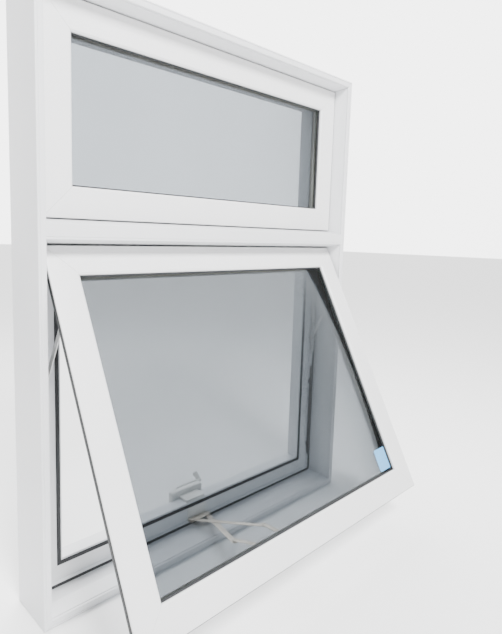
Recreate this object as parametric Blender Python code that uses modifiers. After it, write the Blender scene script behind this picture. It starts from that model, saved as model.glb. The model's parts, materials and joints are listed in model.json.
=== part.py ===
"""Vinyl window unit: a fixed light above a top-hung awning sash that a crank operator pushes open.

Units are metres. X runs along the sill, Y from the weather side into the building, Z up.
The origin is the middle of the sill's underside. Depths are counted from the frame's outer lip,
so what stands by itself is moved by ORIGIN_SHIFT. The awning sash and its linkages are built
shut and then turned to the open position.
"""
import math

import bmesh
import bpy
from mathutils import Matrix, Vector

# ---------------------------------------------------------------- driving dimensions
FRAME_W = 1.004
FRAME_DEPTH = 0.130
LIP = 0.017
SPLAY = 0.008
FACE_SETBACK = 0.043
SASH_GAP = 0.003
HEAD_GAP = 0.006
FIXED_SASH_H = 0.430
VENT_SASH_H = 0.764
TRANSOM_H = 0.048
OPEN_ANGLE = math.radians(27.5)

WALL = 0.003
TOUCH = 0.0003
MITRE_GAP = 0.00015

# sash section
SASH_FACE_W = 0.065
SASH_DEPTH = 0.044
FLANGE_T = 0.010
GLASS_LEG_T = 0.0085
GLASS_REBATE = 0.014
EDGE_CHAMFER = 0.002

# frame lands behind the sash
SEAL_SPACE = 0.027
LAND_1 = 0.009
LAND_2 = 0.050
LAND_2_GAP = 0.004
OUTER_SEAL_W = 0.005
OUTER_SEAL_T = 0.0029
INNER_SEAL_W = 0.009
INNER_SEAL_EDGE = 0.004

# insulating glass
PANE_T = 0.003
CAVITY = 0.0170
GASKET_T = 0.0029
GASKET_SIGHT = 0.004
SPACER_SIGHT = 0.002
SPACER_H = 0.011
PANE_EDGE_GAP = 0.002
BEAD_SIGHT = 0.001
BEAD_SLOPE = 0.008

# sash pivot
PIVOT_BACK = 0.006
PIVOT_DOWN = 0.004
PIVOT_PIN_R = 0.0016
PIVOT_HOLE_R = 0.0020
PIVOT_HOLE_L = 0.008

# side stays
STAY_LINK_L = 0.160
STAY_W = 0.012
STAY_T = 0.002
STAY_DEPTH = 0.0400
STAY_TOP_DOWN = 0.030
STUD_PROUD = 0.0006
STAY_PIN_R = 0.0025
PIN_CLEARANCE = 0.0004
TRACK_T = 0.0025
TRACK_W = 0.0145
TRACK_SLOT_W = 0.0080
TRACK_END = 0.016
TRACK_TOP_DOWN = 0.045
TRACK_PIN_DEPTH = 0.6
SLOT_PLAY = 0.004
SLOT_SPARE = 0.016
LINER_T = 0.0012
LINER_W = 0.020

# crank operator
OPERATOR_X = -0.022
ARM_L = 0.2125
ELBOW_SPARE = 0.01521
ARM_W = 0.014
PLATE_T = 0.0015
ARM_PIVOT_X = 0.025
LINK_PIVOT_X = 0.020
ARM_PIVOT_BACK = 0.0095
CARRIER_HINGE_Y = 0.0845
CARRIER_W = 0.068
CARRIER_APEX = 0.026
CARRIER_TIP_W = 0.024
TONGUE_HINGE_Y = 0.083
TONGUE_REACH = 0.015
LINK_GAP = 0.0008
BRACKET_T = 0.0014
BRACKET_SIDE = 0.008
BRACKET_SETBACK = 0.0063
BRACKET_LAP = 0.0005
RIVET_R = 0.0045
RIVET_T = 0.0009
GEARBOX_W = 0.064
GEARBOX_H = 0.092
COVER_W = 0.110
COVER_T = 0.020
COVER_RISE = 0.012
COVER_ROUND = 0.005
CRANK_Z = 0.074
CRANK_TILT = math.radians(38)
CRANK_ARM = 0.078
CRANK_SHAFT_R = 0.0065
CRANK_HUB_L = 0.022
CRANK_BAR_T = 0.006
CRANK_BAR_W = 0.016
STEM_R = 0.003
STEM_L = 0.016
KNOB_R = 0.009
KNOB_L = 0.026
KNOB_WAIST_R = 0.0065
KNOB_DOME = 0.0054
KNOB_FOOT = 0.003
KNOB_BORE_L = 0.018

# locks
LOCK_Z = 0.215
LOCK_LEVER_L = 0.078
LOCK_BASE_H = 0.120
LOCK_BASE_W = 0.024
LOCK_BASE_T = 0.004
LOCK_LEVER_W = 0.014
LOCK_LEVER_T = 0.011
LEVER_STAND = 0.0085
LEVER_ROUND = 0.0015
TIE_BAR_FORE = 0.0025
TIE_BAR_W = 0.010
TIE_BAR_T = 0.003
TIE_BAR_BOTTOM = 0.085
TIE_BAR_CLEAR = 0.0505
LUG_FROM_BOTTOM = 0.035
LUG_FROM_TOP = 0.055
LUG_H = 0.014
LUG_REACH = 0.005
KEEPER_H = 0.040
KEEPER_W = 0.012
KEEPER_T = 0.003

ARC_STEPS = 8
ROUND_STEPS = 16

# ---------------------------------------------------------------- worked-out places
FRAME_INSET = LIP + SPLAY
SASH_W = FRAME_W - 2 * (FRAME_INSET + SASH_GAP)
VENT_BOTTOM = FRAME_INSET + SASH_GAP
VENT_TOP = VENT_BOTTOM + VENT_SASH_H
TRANSOM_BOTTOM = VENT_TOP + HEAD_GAP
TRANSOM_TOP = TRANSOM_BOTTOM + TRANSOM_H
FIXED_BOTTOM = TRANSOM_TOP + SASH_GAP
FIXED_TOP = FIXED_BOTTOM + FIXED_SASH_H
FRAME_H = FIXED_TOP + SASH_GAP + FRAME_INSET

FLANGE_BACK = FACE_SETBACK + FLANGE_T
LAND_1_Y = FLANGE_BACK + SEAL_SPACE
SASH_BACK = FACE_SETBACK + SASH_DEPTH
LAND_2_Y = SASH_BACK + LAND_2_GAP
LAND_1_TOP = FRAME_INSET + LAND_1
LAND_2_TOP = LAND_1_TOP + LAND_2

ORIGIN_SHIFT = Vector((0.0, -FRAME_DEPTH / 2, 0.0))
PIVOT = Vector((0.0, FACE_SETBACK + PIVOT_BACK, VENT_TOP - PIVOT_DOWN))
JAMB_WALL_X = FRAME_W / 2 - LAND_1_TOP
STAY_Y = FACE_SETBACK + STAY_DEPTH
SLOT_LOW = PIVOT.z - 2 * STAY_LINK_L - STAY_PIN_R - SLOT_PLAY
TIE_BAR_TOP = SLOT_LOW - TRACK_END - TIE_BAR_CLEAR
LUG_HEIGHTS = (TIE_BAR_BOTTOM + LUG_FROM_BOTTOM, TIE_BAR_TOP - LUG_FROM_TOP)

CARRIER_Z = LAND_1_TOP + 5 * TOUCH
LOWER_ARM_Z = CARRIER_Z + PLATE_T + TOUCH
UPPER_ARM_Z = LOWER_ARM_Z + PLATE_T + TOUCH
COVER_PLATE_Z = UPPER_ARM_Z + PLATE_T + TOUCH
LINK_Z = COVER_PLATE_Z + PLATE_T + LINK_GAP
TONGUE_Z = LINK_Z + PLATE_T + TOUCH
BRACKET_Z = TONGUE_Z + PLATE_T + TOUCH
REAR_BODY_Z = BRACKET_Z + BRACKET_T + LINER_T + 2 * TOUCH
HARDWARE_INSET = REAR_BODY_Z - VENT_BOTTOM
REAR_BODY_X = SASH_W / 2 - HARDWARE_INSET


def tilt_sash(point):
    """Place in the open window of a point of the shut sash."""
    turn = Matrix.Rotation(-OPEN_ANGLE, 4, "X")
    return PIVOT + turn @ (Vector(point) - PIVOT)


def stay_angle():
    """Swing of a stay link from the sash arm, so that its lower pin keeps to the upright track."""
    depth = STAY_Y - PIVOT.y
    shift = depth * (1 - math.cos(OPEN_ANGLE)) + STAY_LINK_L * math.sin(OPEN_ANGLE)
    return OPEN_ANGLE + math.asin(shift / STAY_LINK_L)


def operator_lean():
    """Tilt of the arms' plane with the sash shut: square to the line from sash pivot to tongue hinge."""
    drop = PIVOT.z - (TONGUE_Z + PLATE_T / 2)
    return -math.atan2(TONGUE_HINGE_Y - PIVOT.y, drop)


def operator_tilt():
    """Tilt of the arms' plane with the sash open; it turns half as far as the sash."""
    return operator_lean() + OPEN_ANGLE / 2


def scissor_angles(reach):
    """Angles off the outward line of an arm and of its link, for a distance from arm pivots to link pivots.

    Each arm crosses to the far side, so its link pivot lies across by both pivot offsets.
    """
    across = ARM_PIVOT_X + LINK_PIVOT_X
    span = math.hypot(across, reach)
    spread = math.acos((ARM_L**2 + span**2 - LINK_L**2) / (2 * ARM_L * span))
    arm = math.atan2(across, reach) + spread
    elbow_out = ARM_L * math.cos(arm)
    elbow_across = ARM_L * math.sin(arm)
    return arm, math.atan2(elbow_across - across, reach - elbow_out)


def link_reach(hinge, tilt):
    """Distance from the arm pivots to the link pivots, for a place of the tongue hinge."""
    out = CARRIER_HINGE_Y - hinge.y
    up = hinge.z - (CARRIER_Z + PLATE_T / 2)
    along = out * math.cos(tilt) + up * math.sin(tilt)
    return along + TONGUE_REACH - ARM_PIVOT_BACK


TONGUE_HINGE = Vector((OPERATOR_X, TONGUE_HINGE_Y, TONGUE_Z + PLATE_T / 2))
CLOSED_REACH = link_reach(TONGUE_HINGE, operator_lean())
OPEN_REACH = link_reach(tilt_sash(TONGUE_HINGE), operator_tilt())
LINK_L = math.hypot(ARM_PIVOT_X + LINK_PIVOT_X, OPEN_REACH) + ELBOW_SPARE - ARM_L

# ---------------------------------------------------------------- scene, collections, materials


def clear_scene():
    for obj in list(bpy.data.objects):
        bpy.data.objects.remove(obj, do_unlink=True)


def collection(name):
    group = bpy.data.collections.new(name)
    bpy.context.scene.collection.children.link(group)
    return group


def material(name, colour, roughness, metallic=0.0, alpha=1.0):
    made = bpy.data.materials.new(name)
    made.use_nodes = True
    shader = made.node_tree.nodes["Principled BSDF"]
    shader.inputs["Base Color"].default_value = (*colour, 1.0)
    shader.inputs["Roughness"].default_value = roughness
    shader.inputs["Metallic"].default_value = metallic
    shader.inputs["Alpha"].default_value = alpha
    return made


clear_scene()
PARTS = collection("window_unit")
CUTTERS = collection("cutters")
MATERIALS = {
    "vinyl": material("vinyl", (0.88, 0.88, 0.88), 0.35),
    "glass": material("glass", (0.85, 0.90, 0.90), 0.03, alpha=0.3),
    "rubber": material("rubber", (0.02, 0.02, 0.02), 0.6),
    "spacer": material("spacer", (0.55, 0.56, 0.57), 0.4, 0.8),
    "steel": material("steel", (0.62, 0.60, 0.56), 0.35, 1.0),
    "dark_metal": material("dark_metal", (0.05, 0.05, 0.055), 0.5, 0.6),
    "enamel": material("enamel", (0.80, 0.79, 0.76), 0.4),
}


def place(obj, location, turn=(0, 0, 0), parent=None):
    """Set an object in its parent's space, or in the window's depths where it has no parent."""
    obj.parent = parent
    obj.location = Vector(location) + (Vector() if parent else ORIGIN_SHIFT)
    obj.rotation_euler = turn


def empty(name, location, turn=(0, 0, 0), parent=None):
    """An empty on a joint axis, its location given in its parent's space."""
    pivot = bpy.data.objects.new(name, None)
    pivot.empty_display_size = 0.02
    PARTS.objects.link(pivot)
    place(pivot, location, turn, parent)
    return pivot


def add_part(name, mesh, look, location=(0, 0, 0), turn=(0, 0, 0), parent=None):
    """A named sub-part with its material, placed in its parent's space."""
    mesh.name = name
    obj = bpy.data.objects.new(name, mesh)
    mesh.materials.clear()
    mesh.materials.append(MATERIALS[look])
    PARTS.objects.link(obj)
    place(obj, location, turn, parent)
    return obj


def cutter(name, mesh, location=(0, 0, 0), parent=None):
    obj = bpy.data.objects.new(name, mesh)
    CUTTERS.objects.link(obj)
    obj.hide_render = True
    obj.display_type = "WIRE"
    place(obj, location, parent=parent)
    return obj


def boolean(obj, tool, operation="DIFFERENCE"):
    cut = obj.modifiers.new(tool.name, "BOOLEAN")
    cut.object = tool
    cut.operation = operation
    cut.solver = "EXACT"


def bevel(obj, width, segments=2, angle=40):
    edge = obj.modifiers.new("edges", "BEVEL")
    edge.width = width
    edge.segments = segments
    edge.limit_method = "ANGLE"
    edge.angle_limit = math.radians(angle)


def smooth(obj, angle=35):
    obj.data.shade_smooth()
    obj.data.set_sharp_from_angle(angle=math.radians(angle))


# ---------------------------------------------------------------- basic shapes


def outline_mesh(loops, thickness):
    """Flat outline with holes, filled and extruded evenly about its own XY plane."""
    curve = bpy.data.curves.new("outline", "CURVE")
    curve.dimensions = "2D"
    curve.fill_mode = "BOTH"
    curve.extrude = thickness / 2
    for loop in loops:
        spline = curve.splines.new("POLY")
        spline.points.add(len(loop) - 1)
        spline.use_cyclic_u = True
        for point, (u, v) in zip(spline.points, loop):
            point.co = (u, v, 0, 1)
    holder = bpy.data.objects.new("outline", curve)
    bpy.context.scene.collection.objects.link(holder)
    graph = bpy.context.evaluated_depsgraph_get()
    mesh = bpy.data.meshes.new_from_object(holder.evaluated_get(graph))
    bpy.data.objects.remove(holder)
    bpy.data.curves.remove(curve)
    return weld(mesh)


def weld(mesh):
    work = bmesh.new()
    work.from_mesh(mesh)
    bmesh.ops.remove_doubles(work, verts=work.verts, dist=0.000005)
    bmesh.ops.recalc_face_normals(work, faces=work.faces)
    work.to_mesh(mesh)
    work.free()
    return mesh


def turned(mesh, matrix):
    """The mesh with its points put through a matrix, and its faces pointing out."""
    mesh.transform(matrix)
    return weld(mesh)


def box_mesh(low, high):
    work = bmesh.new()
    size = [b - a for a, b in zip(low, high)]
    middle = [(a + b) / 2 for a, b in zip(low, high)]
    place = Matrix.Translation(middle) @ Matrix.Diagonal((*size, 1))
    bmesh.ops.create_cube(work, size=1, matrix=place)
    mesh = bpy.data.meshes.new("box")
    work.to_mesh(mesh)
    work.free()
    return mesh


def rod_mesh(radius, start, end, steps=ROUND_STEPS):
    """A cylinder between two points."""
    start = Vector(start)
    end = Vector(end)
    work = bmesh.new()
    length = (end - start).length
    turn = (end - start).to_track_quat("Z", "Y").to_matrix().to_4x4()
    place = Matrix.Translation((start + end) / 2) @ turn
    bmesh.ops.create_cone(work, cap_ends=True, segments=steps, radius1=radius, radius2=radius,
                          depth=length, matrix=place)
    mesh = bpy.data.meshes.new("rod")
    work.to_mesh(mesh)
    work.free()
    return mesh


def circle(radius, centre=(0, 0), steps=ROUND_STEPS):
    turns = [2 * math.pi * k / steps for k in range(steps)]
    return [(centre[0] + radius * math.cos(t), centre[1] + radius * math.sin(t)) for t in turns]


def stadium(length, width):
    """Outline of a bar with round ends, its end centres at u = 0 and u = length."""
    points = []
    for centre, start in ((length, -math.pi / 2), (0.0, math.pi / 2)):
        for k in range(ARC_STEPS + 1):
            t = start + math.pi * k / ARC_STEPS
            points.append((centre + width / 2 * math.cos(t), width / 2 * math.sin(t)))
    return points


def rectangle(u0, v0, u1, v1):
    return [(u0, v0), (u1, v0), (u1, v1), (u0, v1)]


# ---------------------------------------------------------------- mitred members and rings
RING_SIDES = ("bottom", "top", "left", "right")


def mitred_member(side, width, height, profile, hollows):
    """One side of a mitred rectangle, centred on the origin.

    The profile's points are (inset, depth): inset runs in from the rectangle's outer edge.
    """
    mesh = outline_mesh([profile] + hollows, 1.0)
    run = (width if side in ("bottom", "top") else height) / 2
    for vertex in mesh.vertices:
        inset, depth, end = vertex.co
        along = math.copysign(run - inset - MITRE_GAP, end)
        across = (height if side in ("bottom", "top") else width) / 2 - inset
        if side == "bottom":
            vertex.co = (along, depth, -across)
        elif side == "top":
            vertex.co = (along, depth, across)
        elif side == "left":
            vertex.co = (-across, depth, along)
        else:
            vertex.co = (across, depth, along)
    return weld(mesh)


def flat_ring(width, height, inset_out, inset_in, depth_from, depth_to):
    """A closed ring of rectangular section that follows a rectangle's edge."""
    loops = []
    for inset in (inset_out, inset_in):
        half_w = width / 2 - inset
        half_h = height / 2 - inset
        loops.append(rectangle(-half_w, -half_h, half_w, half_h))
    mesh = outline_mesh(loops, depth_to - depth_from)
    stand = Matrix.Translation((0, (depth_from + depth_to) / 2, 0)) @ Matrix.Rotation(math.pi / 2, 4, "X")
    return turned(mesh, stand)


def frame_section(clearance=0.0):
    """Section of the outer frame as (inset, depth); a clearance swells it."""
    c = clearance
    return [
        (0, -c),
        (LIP + c, -c),
        (FRAME_INSET + c, FACE_SETBACK),
        (FRAME_INSET + c, LAND_1_Y - c),
        (LAND_1_TOP + c, LAND_1_Y - c),
        (LAND_1_TOP + c, LAND_2_Y - c),
        (LAND_2_TOP + c, LAND_2_Y - c),
        (LAND_2_TOP + c, FRAME_DEPTH + c),
        (0, FRAME_DEPTH + c),
    ]


def frame_hollows():
    front = [
        (WALL, WALL),
        (LIP - WALL, WALL),
        (FRAME_INSET - WALL, FACE_SETBACK),
        (FRAME_INSET - WALL, LAND_1_Y - WALL),
        (WALL, LAND_1_Y - WALL),
    ]
    middle = rectangle(WALL, LAND_1_Y, FRAME_INSET - WALL, LAND_2_Y - WALL)
    back = rectangle(WALL, LAND_2_Y, LAND_1_TOP - WALL, FRAME_DEPTH - WALL)
    stop = rectangle(LAND_1_TOP, LAND_2_Y + WALL, LAND_2_TOP - WALL, FRAME_DEPTH - WALL)
    return [front, middle, back, stop]


def sash_section():
    return [
        (EDGE_CHAMFER, 0),
        (SASH_FACE_W - EDGE_CHAMFER, 0),
        (SASH_FACE_W, EDGE_CHAMFER),
        (SASH_FACE_W, GLASS_LEG_T),
        (SASH_FACE_W - GLASS_REBATE, GLASS_LEG_T),
        (SASH_FACE_W - GLASS_REBATE, SASH_DEPTH),
        (HARDWARE_INSET, SASH_DEPTH),
        (HARDWARE_INSET, FLANGE_T),
        (0, FLANGE_T),
        (0, EDGE_CHAMFER),
    ]


def sash_hollows():
    inner = SASH_FACE_W - GLASS_REBATE - WALL
    return [rectangle(HARDWARE_INSET + WALL, FLANGE_T + WALL, inner, SASH_DEPTH - WALL)]


def bead_section():
    """Snap-in glazing bead, in the sash rebate behind the glass."""
    front = GLASS_LEG_T + TOUCH + GASKET_T + TOUCH + 2 * PANE_T + CAVITY + TOUCH
    outer = SASH_FACE_W - GLASS_REBATE + TOUCH
    inner = SASH_FACE_W + BEAD_SIGHT
    back = SASH_DEPTH - TOUCH
    return [(outer, front), (inner, front), (inner, front + WALL), (inner - BEAD_SLOPE, back), (outer, back)]


# ---------------------------------------------------------------- frame


def build_frame():
    centre = (0, 0, FRAME_H / 2)
    names = {"bottom": "sill", "top": "head", "left": "jamb_left", "right": "jamb_right"}
    made = {}
    for side in RING_SIDES:
        mesh = mitred_member(side, FRAME_W, FRAME_H, frame_section(), frame_hollows())
        made[side] = add_part(f"frame_{names[side]}", mesh, "vinyl", centre)
    notch_low = (OPERATOR_X - GEARBOX_W / 2 - 3 * TOUCH, LAND_2_Y - WALL, LAND_1_TOP + TOUCH)
    notch_high = (OPERATOR_X + GEARBOX_W / 2 + 3 * TOUCH, FRAME_DEPTH + WALL, LAND_2_TOP + WALL)
    boolean(made["bottom"], cutter("operator_notch", box_mesh(notch_low, notch_high)))
    build_transom()
    build_frame_seals()


def build_transom():
    """Bar between the lights; its ends are coped to the section of the jambs."""
    half = TRANSOM_H / 2
    up = frame_section()[1:-1]
    outline = [(half + inset - FRAME_INSET, depth) for inset, depth in up]
    outline += [(-z, depth) for z, depth in reversed(outline)]
    inner = half + LAND_1 + LAND_2 - WALL
    hollows = [
        rectangle(-half + SPLAY + WALL, WALL, half - SPLAY - WALL, LAND_1_Y - WALL),
        rectangle(-half + WALL, LAND_1_Y, half - WALL, LAND_2_Y - WALL),
        rectangle(-inner, LAND_2_Y + WALL, inner, FRAME_DEPTH - WALL),
    ]
    mesh = outline_mesh([outline] + hollows, FRAME_W - 2 * LIP)
    axes = Matrix(((0, 0, 1, 0), (0, 1, 0, 0), (1, 0, 0, 0), (0, 0, 0, 1)))
    transom = add_part("frame_transom", turned(mesh, axes), "vinyl", (0, 0, TRANSOM_BOTTOM + half))
    for side in ("left", "right"):
        cope = mitred_member(side, FRAME_W, FRAME_H, frame_section(TOUCH), [])
        boolean(transom, cutter(f"cope_{side}", cope, (0, 0, FRAME_H / 2)))


def build_frame_seals():
    """Rings of weatherstrip on the two lands behind each sash."""
    lights = {
        "vent": (VENT_BOTTOM + VENT_SASH_H / 2, VENT_SASH_H),
        "fixed": (FIXED_BOTTOM + FIXED_SASH_H / 2, FIXED_SASH_H),
    }
    for light, (middle, height) in lights.items():
        back = LAND_1_Y - TOUCH
        inset = 2 * TOUCH
        mesh = flat_ring(SASH_W, height, inset, inset + OUTER_SEAL_W, back - OUTER_SEAL_T, back)
        add_part(f"{light}_seal_outer", mesh, "rubber", (0, 0, middle))
    inset = LAND_2_TOP - VENT_BOTTOM - INNER_SEAL_EDGE
    mesh = flat_ring(SASH_W, VENT_SASH_H, inset - INNER_SEAL_W, inset, SASH_BACK + TOUCH, LAND_2_Y - TOUCH)
    add_part("vent_seal_inner", mesh, "rubber", (0, 0, VENT_BOTTOM + VENT_SASH_H / 2))


# ---------------------------------------------------------------- sashes and glass


def build_sash(prefix, height, location, parent=None):
    """Mitred sash with its insulating glass, gasket and glazing beads; returns the four members."""
    members = {}
    for side in RING_SIDES:
        mesh = mitred_member(side, SASH_W, height, sash_section(), sash_hollows())
        kind = "rail" if side in ("top", "bottom") else "stile"
        members[side] = add_part(f"{prefix}_{kind}_{side}", mesh, "vinyl", location, parent=parent)
        bead = mitred_member(side, SASH_W, height, bead_section(), [])
        add_part(f"{prefix}_bead_{side}", bead, "vinyl", location, parent=parent)
    rebate = SASH_FACE_W - GLASS_REBATE
    gasket_from = GLASS_LEG_T + TOUCH
    gasket_to = gasket_from + GASKET_T
    gasket = flat_ring(SASH_W, height, rebate + TOUCH, SASH_FACE_W + GASKET_SIGHT, gasket_from, gasket_to)
    add_part(f"{prefix}_gasket", gasket, "rubber", location, parent=parent)
    pane_inset = rebate + PANE_EDGE_GAP
    half_w = SASH_W / 2 - pane_inset
    half_h = height / 2 - pane_inset
    outer_from = gasket_to + TOUCH
    inner_from = outer_from + PANE_T + CAVITY
    for which, depth in (("outer", outer_from), ("inner", inner_from)):
        pane = box_mesh((-half_w, depth, -half_h), (half_w, depth + PANE_T, half_h))
        add_part(f"{prefix}_pane_{which}", pane, "glass", location, parent=parent)
    spacer_in = SASH_FACE_W + SPACER_SIGHT
    spacer = flat_ring(SASH_W, height, spacer_in - SPACER_H, spacer_in,
                       outer_from + PANE_T + TOUCH, inner_from - TOUCH)
    add_part(f"{prefix}_spacer", spacer, "spacer", location, parent=parent)
    return members


def build_vent_sash(pivot):
    """Awning sash with the holes for its pivot pins and the dark liner around its back."""
    middle = Vector((0, FACE_SETBACK, VENT_BOTTOM + VENT_SASH_H / 2)) - PIVOT
    members = build_sash("vent", VENT_SASH_H, middle, pivot)
    for side, sign in (("left", -1), ("right", 1)):
        edge = sign * SASH_W / 2
        hole = rod_mesh(PIVOT_HOLE_R, (edge - sign * PIVOT_HOLE_L, 0, 0), (edge + sign * WALL, 0, 0))
        tool = cutter(f"pivot_hole_{side}", hole, parent=pivot)
        boolean(members[side], tool)
        boolean(members["top"], tool)
        pin_from = (edge - sign * (PIVOT_HOLE_L - WALL), PIVOT.y, PIVOT.z)
        pin_to = (edge + sign * (SASH_GAP - TOUCH), PIVOT.y, PIVOT.z)
        pin = add_part(f"pivot_pin_{side}", rod_mesh(PIVOT_PIN_R, pin_from, pin_to), "steel")
        smooth(pin)
    liner = flat_ring(SASH_W, VENT_SASH_H, HARDWARE_INSET - TOUCH - LINER_T, HARDWARE_INSET - TOUCH,
                      FLANGE_T + TOUCH, FLANGE_T + TOUCH + LINER_W)
    add_part("vent_liner", liner, "rubber", middle, parent=pivot)


# ---------------------------------------------------------------- side stays


def side_bar(length, holes, thickness, sign):
    """A flat upright bar that hangs down from its pivot; its thickness runs away from the sash."""
    mesh = outline_mesh([stadium(length, STAY_W)] + holes, thickness)
    axes = Matrix(((0, 0, sign, 0), (0, 1, 0, 0), (-1, 0, 0, 0), (0, 0, 0, 1)))
    return turned(mesh, Matrix.Translation((sign * thickness / 2, 0, 0)) @ axes)


def build_stays(pivot):
    """On each side a bar on the sash, a link on it, and the jamb track that the link's pin runs in."""
    arm_x = REAR_BODY_X + 2 * TOUCH + LINER_T
    link_x = arm_x + STAY_T + TOUCH
    track_x = JAMB_WALL_X - TOUCH - TRACK_T
    slot_high = PIVOT.z - 2 * STAY_LINK_L * math.cos(OPEN_ANGLE) + STAY_PIN_R + SLOT_SPARE
    for side, sign in (("left", -1), ("right", 1)):
        arm_at = (sign * arm_x, STAY_Y - PIVOT.y, -STAY_TOP_DOWN)
        joint_at = (sign * link_x, STAY_Y - PIVOT.y, -STAY_LINK_L)
        bar = side_bar(STAY_LINK_L, [], STAY_T, sign)
        arm = add_part(f"stay_arm_{side}", bar, "steel", arm_at, parent=pivot)
        joint = empty(f"stay_joint_{side}", joint_at, (stay_angle(), 0, 0), pivot)
        stud_from = (-sign * (STAY_T / 2 + TOUCH), 0, 0)
        stud = rod_mesh(STAY_PIN_R, stud_from, (sign * (STAY_T + STUD_PROUD), 0, 0))
        boolean(arm, cutter(f"stay_stud_{side}", stud, joint_at, pivot), "UNION")
        hole = circle(STAY_PIN_R + PIN_CLEARANCE)
        bar = side_bar(STAY_LINK_L, [hole], STAY_T, sign)
        link = add_part(f"stay_link_{side}", bar, "steel", parent=joint)
        pin_reach = track_x - link_x + TRACK_T * TRACK_PIN_DEPTH
        pin = rod_mesh(STAY_PIN_R, (sign * STAY_T / 2, 0, -STAY_LINK_L), (sign * pin_reach, 0, -STAY_LINK_L))
        boolean(link, cutter(f"stay_pin_{side}", pin, parent=joint), "UNION")
        slot = stadium(slot_high - SLOT_LOW - TRACK_SLOT_W, TRACK_SLOT_W)
        track_top = PIVOT.z - TRACK_TOP_DOWN - SLOT_LOW
        outline = rectangle(-TRACK_SLOT_W / 2 - TRACK_END, -TRACK_W / 2, track_top, TRACK_W / 2)
        mesh = outline_mesh([outline, slot], TRACK_T)
        axes = Matrix(((0, 0, 1, 0), (0, 1, 0, 0), (1, 0, 0, 0), (0, 0, 0, 1)))
        add_part(f"stay_track_{side}", turned(mesh, axes), "steel",
                 (sign * (track_x + TRACK_T / 2), STAY_Y, SLOT_LOW + TRACK_SLOT_W / 2))


# ---------------------------------------------------------------- crank operator


def plate_bar(length):
    """Flat operator bar along +X with its pivot hole at the origin and its underside at z = 0."""
    loops = [stadium(length, ARM_W), circle(STAY_PIN_R + PIN_CLEARANCE)]
    return turned(outline_mesh(loops, PLATE_T), Matrix.Translation((0, 0, PLATE_T / 2)))


def carrier_mesh():
    """Folded plate around the arm pivots: a lower leaf, a tapered upper leaf and the web that joins them."""
    half = CARRIER_W / 2
    reach = ARM_PIVOT_BACK + ARM_W / 2
    rise = COVER_PLATE_Z - CARRIER_Z
    lower = box_mesh((-half, -reach, -PLATE_T / 2), (half, 0, PLATE_T / 2))
    tip = CARRIER_TIP_W / 2
    taper = [(-half, 0), (-half, -reach), (-tip, -CARRIER_APEX)]
    taper += [(-x, y) for x, y in reversed(taper)]
    upper = turned(outline_mesh([taper], PLATE_T), Matrix.Translation((0, 0, rise)))
    web = box_mesh((-half, -PLATE_T, 0), (half, 0, rise))
    return lower, upper, web


def build_carrier():
    """Gearbox and the tilting carrier; the two arms cross in layers, each on its own leaf's post."""
    gearbox_front = CARRIER_HINGE_Y + 2 * PLATE_T
    box_y = LAND_2_Y + 8 * TOUCH
    foot_z = LAND_1_TOP + 2 * TOUCH
    neck_z = LAND_2_TOP - INNER_SEAL_EDGE - INNER_SEAL_W - 2 * TOUCH
    side_view = [
        (gearbox_front, foot_z),
        (FRAME_DEPTH - TOUCH, foot_z),
        (FRAME_DEPTH - TOUCH, GEARBOX_H),
        (box_y, GEARBOX_H),
        (box_y, neck_z),
        (gearbox_front, neck_z),
    ]
    axes = Matrix(((0, 0, 1, 0), (1, 0, 0, 0), (0, 1, 0, 0), (0, 0, 0, 1)))
    gearbox = turned(outline_mesh([side_view], GEARBOX_W), axes)
    add_part("operator_gearbox", gearbox, "enamel", (OPERATOR_X, 0, 0))

    carrier = empty("carrier_hinge", (OPERATOR_X, CARRIER_HINGE_Y, CARRIER_Z + PLATE_T / 2),
                    (-operator_tilt(), 0, 0))
    lower, upper, web = carrier_mesh()
    plate = add_part("operator_carrier", lower, "steel", parent=carrier)
    for name, mesh in (("carrier_upper", upper), ("carrier_web", web)):
        boolean(plate, cutter(name, mesh, parent=carrier), "UNION")
    middle = CARRIER_Z + PLATE_T / 2
    swing = scissor_angles(OPEN_REACH)[0]
    layers = {"left": (-1, UPPER_ARM_Z, COVER_PLATE_Z), "right": (1, LOWER_ARM_Z, CARRIER_Z)}
    for side, (sign, arm_z, leaf_z) in layers.items():
        x = sign * ARM_PIVOT_X
        leaf = leaf_z - middle + PLATE_T / 2
        far = arm_z - middle + (0 if leaf_z > arm_z else PLATE_T)
        post = rod_mesh(STAY_PIN_R, (x, -ARM_PIVOT_BACK, leaf), (x, -ARM_PIVOT_BACK, far))
        boolean(plate, cutter(f"arm_post_{side}", post, parent=carrier), "UNION")
        aim = -math.pi / 2 - sign * swing
        joint = empty(f"arm_joint_{side}", (x, -ARM_PIVOT_BACK, arm_z - middle), (0, 0, aim), carrier)
        arm = add_part(f"operator_arm_{side}", plate_bar(ARM_L), "steel", parent=joint)
        boss_top = LINK_Z - LINK_GAP - TOUCH - arm_z
        boss = rod_mesh(RIVET_R, (ARM_L, 0, -RIVET_T), (ARM_L, 0, boss_top))
        boolean(arm, cutter(f"arm_boss_{side}", boss, parent=joint), "UNION")


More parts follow.
